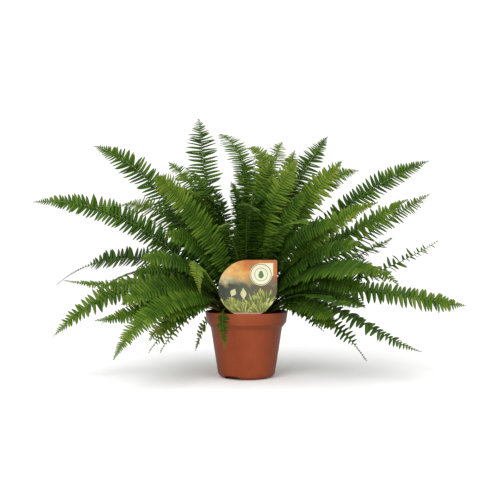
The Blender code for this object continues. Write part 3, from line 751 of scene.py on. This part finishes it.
def potFinish():
    finish = newFinish("pot terracotta plastic", 0.42, 0.12)
    where = placeOf()
    cloud = grain(where, 22.0, 4.0)
    fine = grain(where, 1400.0, 2.0)
    stretched = put("Mapping", {"Vector": where, "Scale": (60.0, 60.0, 5.0)}).outputs[0]
    streak = grain(stretched, 5.0, 3.0)
    colour = ramp(cloud, [(0.2, (0.205, 0.041, 0.012)), (0.5, (0.240, 0.049, 0.016)),
                          (0.8, (0.275, 0.062, 0.022))])
    colour = blend(between(streak, 0.58, 0.82, 0.0, 0.22), colour, (0.32, 0.105, 0.055))
    # painted shade: the plastic is darker and browner where its surface turns away from view, as the pot's
    # sides fall into shade
    grazing = put("LayerWeight", {"Blend": 0.5}).outputs["Facing"]
    colour = blend(between(grazing, 0.15, 0.85, 0.0, 0.75), colour, (0.105, 0.024, 0.008))
    relief = calc("ADD", fine, calc("MULTIPLY", cloud, 0.6))
    wireUp(colour, between(calc("ADD", cloud, fine), 0.6, 1.4, 0.34, 0.50),
           relief, 0.00005, 0.6)
    return finish


buildPot(potFinish())
print("pot built")


peatBuild = {"steps": 120, "rings": 34, "crumbs": 620, "lumpSize": 0.0022, "seed": 21}


def peatFinish():
    finish = newFinish("peat", 0.95, 0.2)
    where = placeOf()
    lumps = grain(where, 240.0, 5.0, 0.7)
    flecks = grain(where, 700.0, 2.0)
    colour = ramp(lumps, [(0.3, (0.006, 0.004, 0.003)), (0.55, (0.022, 0.013, 0.008)),
                          (0.8, (0.060, 0.036, 0.020))])
    colour = blend(between(flecks, 0.66, 0.74, 0.0, 0.8), colour, (0.13, 0.085, 0.045))
    wireUp(colour, between(lumps, 0.2, 0.8, 1.0, 0.82), lumps, 0.0008, 0.9)
    return finish


def buildPeat(finish):
    low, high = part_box("potting_soil")
    radius, top = high.x, high.z
    rng = np.random.default_rng(peatBuild["seed"])
    rows, steps = peatBuild["rings"], peatBuild["steps"]
    profile = [(radius * (i / rows), top) for i in range(1, rows + 1)]
    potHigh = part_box("pot")[1]
    foot = potHigh.z - potBuild["rimBand"]
    gap = potBuild["wall"] + 0.0004
    inside = [potHigh.x * potBuild[k] - gap for k in ("collarShare", "shoulderShare", "baseShare")]
    profile += [(inside[0], foot + 0.0014), (inside[1], foot - potBuild["shoulderDrop"] - 0.0020),
                (inside[2], 0.012), (0.030, low.z), (0.001, low.z)]
    points, quads = lathe(profile, steps)
    for p in points[:rows * steps]:
        r = math.hypot(p[0], p[1]) / radius
        bump = noise.fractal(Vector(p) * 130.0, 0.9, 2.1, 4)
        p[2] += peatBuild["lumpSize"] * bump * (1 - 0.5 * r**6) - 0.0022 * r**4 - 0.0006
    count = len(points)
    ring = np.arange(steps)
    shapes = [points]
    faces = [quads, np.stack([np.roll(ring, -1), ring, np.full(steps, count)], -1)]
    shapes.append(np.array([[0, 0, points[:steps, 2].mean()]]))
    first = count + 1
    chunk = bmesh.new()
    bmesh.ops.create_icosphere(chunk, subdivisions=1, radius=1.0)
    ball = np.array([v.co for v in chunk.verts])
    sides = np.array([[v.index for v in f.verts] for f in chunk.faces])
    chunk.free()
    crumbs, crumbFaces = [], []
    for i in range(peatBuild["crumbs"]):
        r = radius * 0.97 * math.sqrt(rng.random())
        a = rng.random() * 2 * math.pi
        size = 0.0007 + 0.0019 * rng.random() ** 3
        stretch = rng.uniform(0.5, 1.3, 3) * size
        lump = ball * (1 + rng.uniform(-0.28, 0.28, (len(ball), 1))) * stretch
        spin = np.array(Matrix.Rotation(rng.random() * 6.3, 3, Vector(rng.normal(size=3)).normalized()))
        height = top - 0.0006 - 0.0022 * (r / radius) ** 4
        crumbs.append(lump @ spin.T + (r * math.cos(a), r * math.sin(a), height))
        crumbFaces.append(sides + first)
        first += len(ball)
    shapes += crumbs
    faces.append(np.concatenate(crumbFaces))
    tris = np.concatenate(faces[1:])
    soil = makeObject("peat_soil", np.concatenate(shapes), [quads, tris], finish, smooth=50)
    return rideRoot(soil, "potting_soil", "potting_soil")


buildPeat(peatFinish())


crownBuild = {"rings": 18, "steps": 96, "scales": 420, "seed": 5}


def crownFinish():
    finish = newFinish("crown scales", 0.8, 0.25)
    where = placeOf()
    drawn = put("Mapping", {"Vector": where, "Scale": (1.0, 1.0, 0.25)}).outputs[0]
    fibre = grain(drawn, 420.0, 4.0)
    colour = ramp(fibre, [(0.3, (0.020, 0.010, 0.004)), (0.55, (0.075, 0.038, 0.014)),
                          (0.8, (0.190, 0.110, 0.045))])
    wireUp(colour, between(fibre, 0.2, 0.8, 0.9, 0.7), fibre, 0.0005, 0.9)
    return finish


def buildCrown(finish):
    low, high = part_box("rhizome_crown")
    radius, top, foot = high.x, high.z, low.z
    rows, steps = crownBuild["rings"], crownBuild["steps"]
    rng = np.random.default_rng(crownBuild["seed"])

    def heightAt(r):
        return top - (top - foot) * (r / radius) ** 2

    profile = [(radius * i / rows, heightAt(radius * i / rows) - 0.0004) for i in range(1, rows + 1)]
    profile += [(radius * 0.97, foot + 0.0002), (0.001, foot + 0.0002)]
    points, quads = lathe(profile, steps)
    for p in points[:rows * steps]:
        p[2] += 0.0011 * noise.fractal(Vector(p) * 210.0, 0.8, 2.2, 4) - 0.0004
    parts, first = [points, np.array([[0, 0, points[:steps, 2].mean()]])], len(points) + 1
    ring = np.arange(steps)
    tris = [np.stack([ring, np.roll(ring, -1), np.full(steps, len(points))], -1)]
    for i in range(crownBuild["scales"]):
        r, a = radius * math.sqrt(rng.random()) * 0.97, rng.random() * 6.283
        base = np.array([r * math.cos(a), r * math.sin(a), heightAt(r) - 0.0008])
        out = np.array([math.cos(a + rng.normal(0, 0.7)), math.sin(a + rng.normal(0, 0.7)), 0])
        out /= np.linalg.norm(out)
        side = np.cross((0, 0, 1), out)
        long, wide = rng.uniform(0.0025, 0.0060), rng.uniform(0.0005, 0.0011)
        lift = rng.uniform(0.3, 1.3)
        middle = base + out * long * 0.45 + np.array([0, 0, long * 0.4 * lift])
        end = base + out * long + np.array([0, 0, long * 0.35 * lift])
        parts.append(np.array([base - side * wide * 0.5, base + side * wide * 0.5,
                               middle - side * wide, middle + side * wide, end]))
        tris.append(np.array([(0, 1, 3), (0, 3, 2), (2, 3, 4)]) + first)
        first += 5
    crown = makeObject("crown_scaly", np.concatenate(parts), [quads, np.concatenate(tris)], finish, smooth=60)
    return rideRoot(crown, "crown", "rhizome_crown")


buildCrown(crownFinish())
print("soil and crown built")


labelBuild = {
    "arcSteps": 96,
    "footSteps": 24,
    "footTurn": 48,           # degrees of the round side below its middle
    "corner": 0.0015,         # rounding of the square corner
    "neckHalf": 0.0150,
    "neckHeight": 0.0925,
    "stakeHalf": 0.008,
    "stakeFrom": 0.082,
    "point": 0.008,           # height of the stake's point
    "edge": 0.00012,
    "narrow": 0.16,           # how much the round side draws in towards the pot
    # across, up, size, lean and width of the two pale leaves in the picture
    "paleLeaves": ((-0.0186, 0.1240, 0.0050, 0.45, 0.80), (-0.0043, 0.1225, 0.0068, -0.05, 0.56)),
}


def labelOutline(low, high, build):
    centre = Vector(((low.x + high.x) / 2, high.z - (high.x - low.x) / 2))
    radius = (high.x - low.x) / 2

    def rounded(a):
        inward = 1 - build["narrow"] * max(0.0, -math.sin(a)) ** 1.5
        return centre.x + radius * math.cos(a) * inward, centre.y + radius * math.sin(a)

    right, top, soft = centre.x + radius, centre.y + radius, build["corner"]
    outline = [(right, top - soft), (right - 0.0004, top - 0.0004), (right - soft, top)]
    arc, foot, footTurn = build["arcSteps"], build["footSteps"], build["footTurn"]
    outline += [rounded(math.radians(90 + i * (90 + footTurn) / arc)) for i in range(arc + 1)]
    down = [(build["neckHalf"], build["neckHeight"]), (build["stakeHalf"], build["stakeFrom"]),
            (build["stakeHalf"], low.z + build["point"])]
    outline += [(centre.x - half, z) for half, z in down] + [(centre.x, low.z)]
    outline += [(centre.x + half, z) for half, z in down[::-1]]
    outline += [rounded(math.radians(-footTurn + i * footTurn / foot)) for i in range(foot + 1)]
    return outline, centre, radius


def plate(name, outline, front, back, finish):
    # a flat closed plate in the upright plane, from its outline
    shape = bmesh.new()
    near = [shape.verts.new((x, front, z)) for x, z in outline]
    far = [shape.verts.new((x, back, z)) for x, z in outline]
    shape.faces.new(near)
    shape.faces.new(far[::-1])
    for i in range(len(outline)):
        j = (i + 1) % len(outline)
        shape.faces.new((near[i], far[i], far[j], near[j]))
    bmesh.ops.recalc_face_normals(shape, faces=shape.faces)
    bmesh.ops.triangulate(shape, faces=[f for f in shape.faces if len(f.verts) > 4])
    mesh = bpy.data.meshes.new(name)
    shape.to_mesh(mesh)
    shape.free()
    mesh.materials.append(finish)
    return addObject(name, mesh)


def tuft(x, z, foot, height, reach):
    # blades that fan out from one foot: their pattern, and where they cover the picture
    across, up = calc("SUBTRACT", x, foot), calc("SUBTRACT", z, height)
    squares = (calc("MULTIPLY", value, value) for value in (across, up))
    away = calc("SQRT", calc("ADD", *squares))
    fan = put("CombineXYZ", {0: calc("ARCTAN2", across, up), 1: calc("MULTIPLY", away, 9.0),
                             2: foot * 90}).outputs[0]
    blades = grain(fan, 7.0, 3.0, 0.6)
    spread = between(blades, 0.35, 0.65, reach * 0.62, reach)
    return blades, between(calc("SUBTRACT", spread, away), 0.0, 0.0009)


def labelFinish(low, high):
    finish = newFinish("label print", 0.34, 0.35)
    where = placeOf()
    xyz = put("SeparateXYZ", {0: where})
    x, z = xyz.outputs[0], xyz.outputs[2]
    acrossCard = between(x, low.x, high.x)
    cloud = grain(where, 60.0, 4.0)
    # an evening sky, pale at the left and glowing along the top
    upCard = between(z, 0.128, high.z)
    warm = calc("ADD", calc("MULTIPLY", acrossCard, 0.50), calc("MULTIPLY", upCard, 0.36))
    warm = calc("ADD", warm, between(cloud, 0.3, 0.7, -0.20, 0.20))
    sky = ramp(warm, [(0.0, (0.36, 0.34, 0.16)), (0.20, (0.60, 0.48, 0.24)), (0.38, (0.64, 0.34, 0.09)),
                      (0.56, (0.56, 0.155, 0.022)), (0.78, (0.36, 0.145, 0.050)),
                      (1.0, (0.42, 0.20, 0.075))])
    veil = grain(where, 130.0, 4.0)
    sky = blend(between(veil, 0.52, 0.72, 0.0, 0.45), sky, (0.33, 0.27, 0.16))
    lowRight = calc("MULTIPLY", between(acrossCard, 0.40, 0.85), between(z, 0.152, 0.137))
    sky = blend(lowRight, sky, (0.150, 0.062, 0.030))
    # a hazy line of dark hills
    ridge = calc("ADD", 0.1365, between(grain(where, 90.0, 4.0), 0.3, 0.7, -0.0050, 0.0050))
    under = calc("SUBTRACT", ridge, z)
    hillColour = ramp(acrossCard, [(0.1, (0.028, 0.034, 0.020)), (0.45, (0.075, 0.085, 0.048)),
                                   (0.8, (0.110, 0.085, 0.045))])
    picture = blend(between(under, -0.0110, 0.0010), sky, (0.165, 0.150, 0.082))
    picture = blend(between(under, -0.0002, 0.0030), picture, hillColour)
    # meadow grass, tufts of blades with pale tips
    for foot, height, reach in ((-0.026, 0.098, 0.022), (0.026, 0.104, 0.027), (-0.016, 0.093, 0.026),
                                (0.014, 0.094, 0.031), (-0.002, 0.089, 0.026), (0.021, 0.090, 0.022)):
        blades, cover = tuft(x, z, foot, height, reach)
        green = ramp(blades, [(0.36, (0.040, 0.055, 0.012)), (0.47, (0.120, 0.140, 0.030)),
                              (0.57, (0.270, 0.300, 0.055)), (0.70, (0.560, 0.540, 0.220))])
        picture = blend(cover, picture, green)
    foot = between(z, 0.0955, 0.0965, 1.0, 0.0)
    picture = blend(foot, picture, (0.62, 0.34, 0.26))
    wireUp(picture, between(grain(where, 120.0), 0.3, 0.7, 0.30, 0.40),
           grain(where, 1500.0), 0.00002, 0.5)
    return finish


def plainPrint(name, colour, spread):
    finish = newFinish(name, 0.36, 0.5)
    speck = grain(placeOf(), 260.0, 3.0)
    darker = tuple(c * (1 - spread) for c in colour)
    wireUp(blend(between(speck, 0.3, 0.7), darker, colour),
           between(speck, 0.3, 0.7, 0.32, 0.42))
    return finish


def flatRing(name, middle, outer, inner, face, finish):
    steps = 72
    turn = fullTurn(steps)
    x, z = middle
    rings = [np.stack([x + r * np.cos(turn), np.full(steps, face - y), z + r * np.sin(turn)], -1)
             for r, y in ((outer, 0.0002), (outer, 0.0001), (inner, 0.0001), (inner, 0.0002))]
    at = np.arange(4 * steps).reshape(4, steps)
    below = np.roll(at, -1, 0)
    quads = np.stack([at, np.roll(at, -1, 1), np.roll(below, -1, 1), below], -1)
    return makeObject(name, np.concatenate(rings), [quads.reshape(-1, 4)], finish, smooth=30)


def buildLabel():
    low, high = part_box("plant_label")
    outline, centre, radius = labelOutline(low, high, labelBuild)
    card = plate("label_card", outline, low.y, high.y, labelFinish(low, high))
    bevel = card.modifiers.new("edge", "BEVEL")
    bevel.width, bevel.segments, bevel.limit_method = labelBuild["edge"], 2, "ANGLE"
    rideRoot(card, "label_card", "plant_label")
    # a plain round badge in the square corner, with a ring and a water drop
    badge = (centre.x + radius * 0.455, centre.y + radius * 0.51)
    size = radius * 0.375
    cornerTop = (centre.x + radius - 0.0055, centre.y + radius - 0.0043)
    corner = [(badge[0] + size * math.cos(a), badge[1] + size * math.sin(a))
              for a in np.linspace(math.radians(98), 2 * math.pi - math.radians(8), 60)]
    corner += [(cornerTop[0], badge[1] - size * 0.1), cornerTop, (badge[0] - size * 0.1, cornerTop[1])]
    cream = plainPrint("badge cream", (0.78, 0.74, 0.52), 0.06)
    green = plainPrint("badge green", (0.10, 0.20, 0.05), 0.2)
    rideRoot(plate("label_badge", corner, low.y - 0.00012, low.y + 0.0001, cream), "label_card")
    for name, outer, inner in (("label_badge_rim", 0.95, 0.89), ("label_badge_ring", 0.60, 0.56)):
        rideRoot(flatRing(name, badge, size * outer, size * inner, low.y, green), "label_card")
    pale = plainPrint("pale leaf", (0.62, 0.58, 0.30), 0.25)
    for i, (x, z, reach, lean, width) in enumerate(labelBuild["paleLeaves"]):
        side = [(reach * (0.05 + width * math.sin(math.pi * t) ** 1.6), reach * (2.4 * t - 1.2))
                for t in np.linspace(0, 1, 24)]
        leaf = [(x + w * math.cos(lean) + h * math.sin(lean), z + h * math.cos(lean) - w * math.sin(lean))
                for w, h in side + [(-w, h) for w, h in side[::-1]]]
        rideRoot(plate(f"label_pale_leaf_{i + 1}", leaf, low.y - 0.00008, low.y + 0.0001, pale), "label_card")
    drop = []
    for a in np.linspace(-math.pi, math.pi, 48, endpoint=False):
        r = size * 0.27 * (1 + 0.55 * max(0.0, math.cos(a)) ** 6)
        drop.append((badge[0] + r * math.sin(a) * 0.9, badge[1] - size * 0.08 + r * math.cos(a)))
    rideRoot(plate("label_badge_drop", drop, low.y - 0.0002, low.y - 0.0001, green), "label_card")


buildLabel()
print("label built")


studio = {
    "floorSize": 14.0,
    "worldLight": 1.1,
    # watts, size and place of each light
    "lights": {"key": (22.0, 1.2, (-0.7, -1.5, 1.5)), "fill": (5.0, 1.6, (1.4, -1.2, 0.9))},
    "aim": (0, 0, 0.15),
    "cameraAt": (0.0, -1.12, 0.182),
    "lens": 55.4,
    "shift": (0.007, 0.0022),
}


def buildStudio():
    mesh = bpy.data.meshes.new("studio_floor")
    half = studio["floorSize"] / 2
    corners = [(-half, -half, 0), (half, -half, 0), (half, half, 0), (-half, half, 0)]
    mesh.from_pydata(corners, [], [(0, 1, 2, 3)])
    finish = newFinish("studio floor", 0.9, 0.1)
    speck = grain(placeOf(), 2.0)
    pale = ramp(speck, [(0.0, (0.93, 0.93, 0.93)), (1.0, (0.96, 0.96, 0.96))])
    setSocket(current["shader"].inputs["Base Color"], pale)
    mesh.materials.append(finish)
    floor = addObject("studio_floor", mesh)
    world = bpy.data.worlds.new("studio")
    world.use_nodes = True
    background = world.node_tree.nodes["Background"]
    background.inputs["Color"].default_value = (1, 1, 1, 1)
    background.inputs["Strength"].default_value = studio["worldLight"]
    bpy.context.scene.world = world
    for name, (watts, size, where) in studio["lights"].items():
        light = bpy.data.lights.new(name, "AREA")
        light.energy, light.size = watts, size
        lamp = addObject(name, light)
        lamp.location = where
        lamp.rotation_euler = (Vector(studio["aim"]) - Vector(where)).to_track_quat("-Z", "Y").to_euler()
    lens = bpy.data.cameras.new("camera")
    lens.lens, lens.sensor_width = studio["lens"], 36.0
    lens.shift_x, lens.shift_y = studio["shift"]
    lens.clip_end = 50.0
    camera = addObject("camera", lens)
    camera.location = studio["cameraAt"]
    camera.rotation_euler = (math.radians(90), 0, 0)
    bpy.context.scene.camera = camera
    bpy.context.scene.view_settings.view_transform = "Standard"


buildStudio()
print("studio built")
